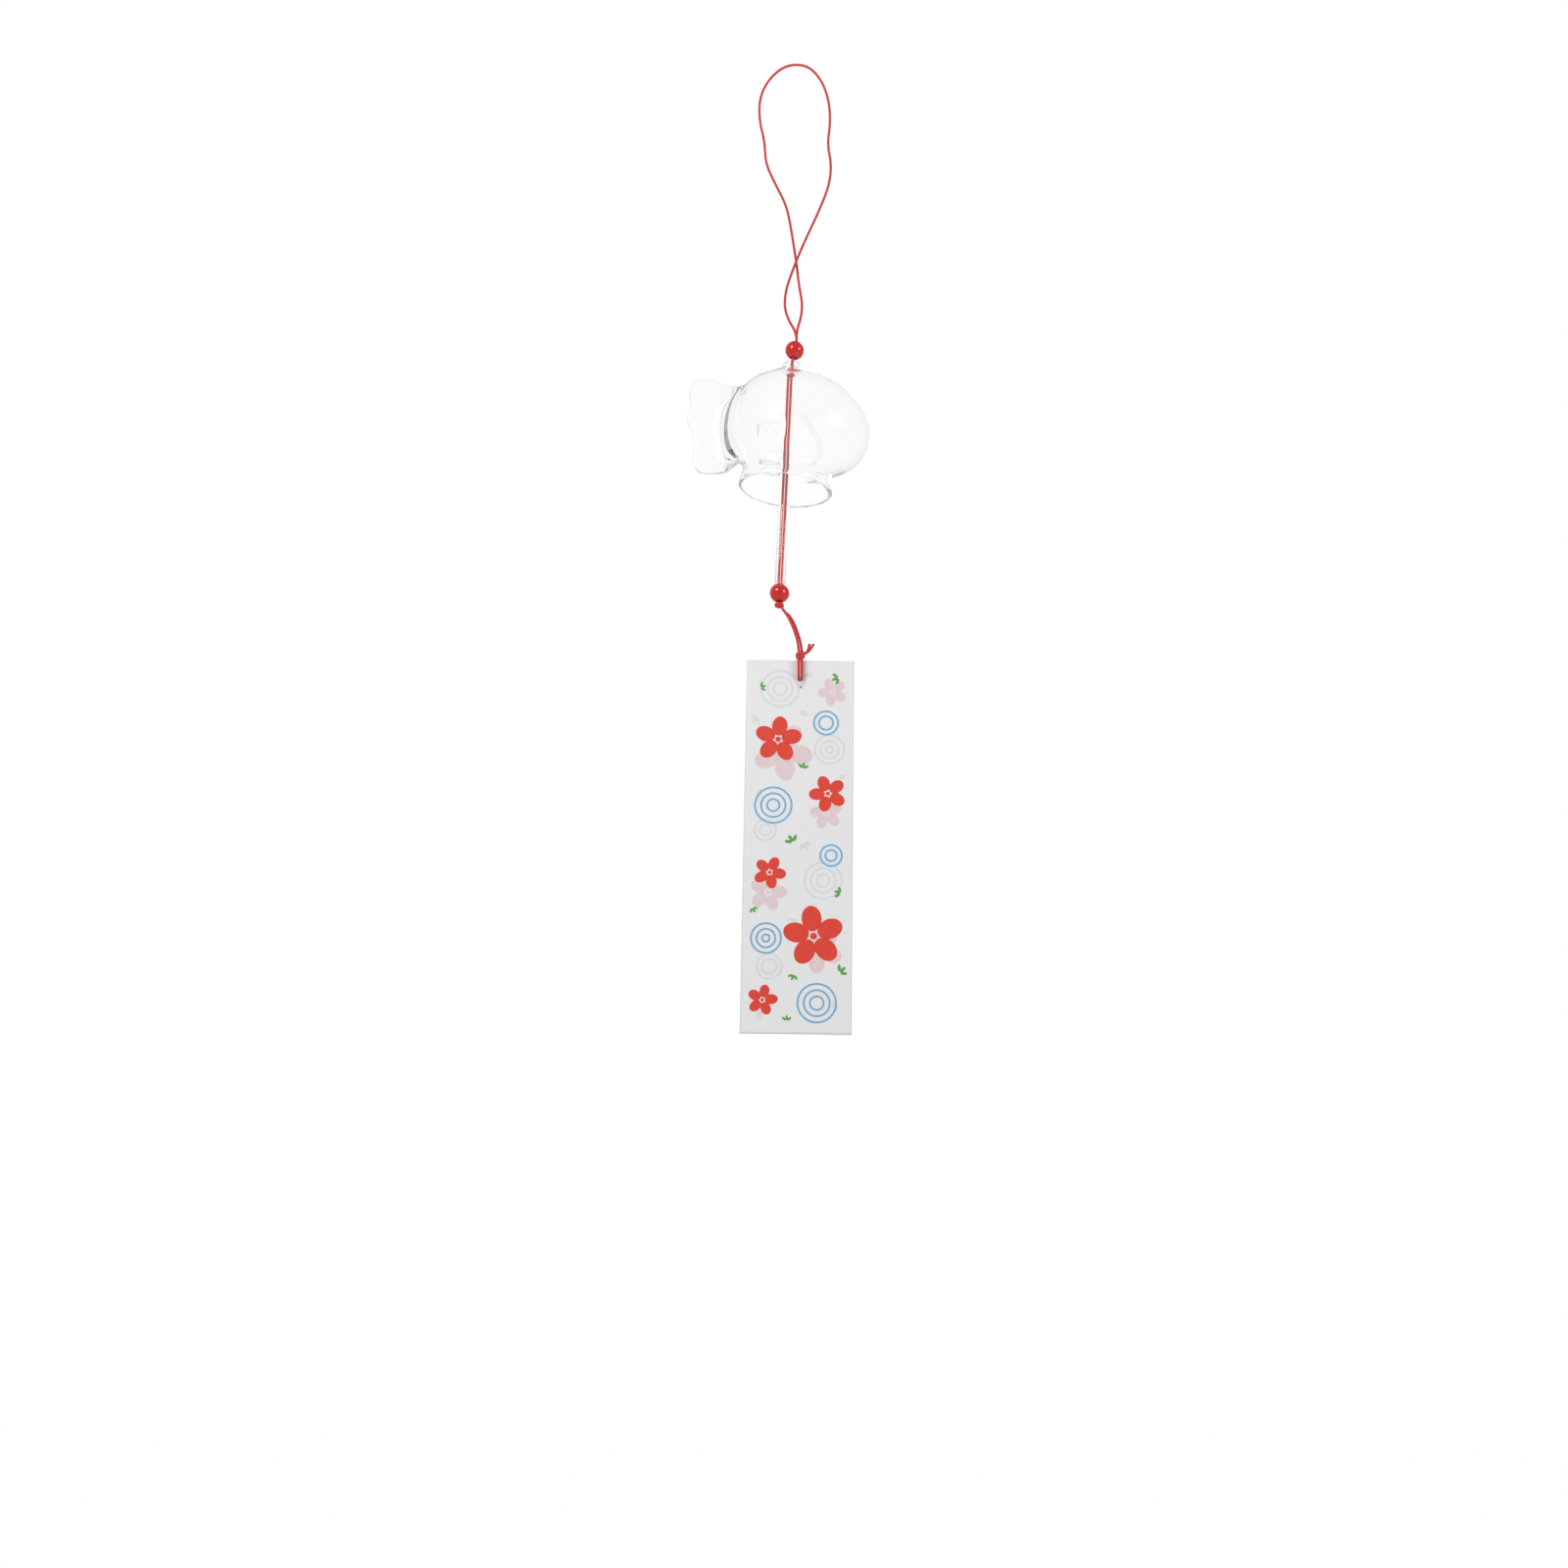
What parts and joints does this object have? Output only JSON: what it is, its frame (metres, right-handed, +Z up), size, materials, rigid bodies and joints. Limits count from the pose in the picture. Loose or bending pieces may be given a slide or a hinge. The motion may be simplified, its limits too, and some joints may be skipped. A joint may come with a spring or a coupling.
{
  "type": "furin wind bell",
  "caption": "Hanging wind bell: a clear blown glass goldfish on a red cord, with a glass tube clapper on a red bead and a printed paper strip that catches the wind.",
  "frame": {"origin": "where a hook carries the hanging loop, at the inside of its top", "axes": "+Z up along the hanging cord, +X towards the fish's nose, +Y to the far flank"},
  "size_m": [0.0768, 0.052, 0.4232],
  "materials": {
    "red_cord": "round braided cord",
    "clear_glass": "blown, fire polished",
    "red_bead": "moulded, clear red, polished",
    "strip_paper": "satin printed card"
  },
  "bodies": {
    "loop": {"hanging_loop": "red_cord"},
    "neck_cord": {"neck_strand_front": "red_cord", "neck_strand_back": "red_cord", "neck_knot": "red_cord"},
    "top_bead": {"upper_bead": "red_bead"},
    "bell": {"glass_body": "clear_glass", "mouth_collar": "clear_glass", "tail_fin": "clear_glass", "side_fin_front": "clear_glass", "side_fin_back": "clear_glass"},
    "clapper_cord": {"clapper_strand_left": "red_cord", "clapper_strand_right": "red_cord", "bead_knot": "red_cord"},
    "clapper": {"clapper_tube": "clear_glass"},
    "foot_bead": {"lower_bead": "red_bead"},
    "strip_cord": {"strip_strand_left": "red_cord", "strip_strand_right": "red_cord"},
    "tie": {"tie_knot": "red_cord", "tie_leg_left": "red_cord", "tie_leg_right": "red_cord", "tie_end_front": "red_cord", "tie_end_back": "red_cord"},
    "strip": {"paper_strip": "strip_paper"}
  },
  "joints": [
    {"name": "bell_swing", "type": "hinge", "parent": "loop", "child": "neck_cord", "pos_m": [0.0008, 0, -0.131], "axis": [0, 1, 0], "range_deg": [-30, 30]},
    {"name": "top_bead_turn", "type": "hinge", "parent": "neck_cord", "child": "top_bead", "pos_m": [0.00006, 0, -0.13545], "axis": [0.165, 0, 0.9863], "continuous": true},
    {"name": "bell_turn", "type": "hinge", "parent": "neck_cord", "child": "bell", "pos_m": [-0.00097, 0, -0.14156], "axis": [0.0419, 0, 0.9991], "continuous": true},
    {"name": "clapper_swing", "type": "hinge", "parent": "neck_cord", "child": "clapper_cord", "pos_m": [-0.00197, 0, -0.14758], "axis": [0, 1, 0], "range_deg": [-15, 15]},
    {"name": "tube_slide", "type": "slide", "parent": "clapper_cord", "child": "clapper", "axis": [0.0436, 0, 0.999], "range_m": [0, 0.032]},
    {"name": "foot_bead_turn", "type": "hinge", "parent": "clapper_cord", "child": "foot_bead", "pos_m": [-0.00612, 0, -0.24259], "axis": [0.0436, 0, 0.999], "continuous": true},
    {"name": "strip_swing", "type": "hinge", "parent": "clapper_cord", "child": "strip_cord", "pos_m": [-0.00487, 0, -0.2506], "axis": [1, 0, 0], "range_deg": [-45, 45]},
    {"name": "strip_turn", "type": "hinge", "parent": "strip_cord", "child": "tie", "pos_m": [0.00218, 0, -0.2696], "axis": [0, 0, 1], "range_deg": [-180, 180]},
    {"name": "paper_rock", "type": "hinge", "parent": "tie", "child": "strip", "pos_m": [0.00218, 0, -0.2797], "axis": [1, 0, 0], "range_deg": [-8, 8]}
  ]
}
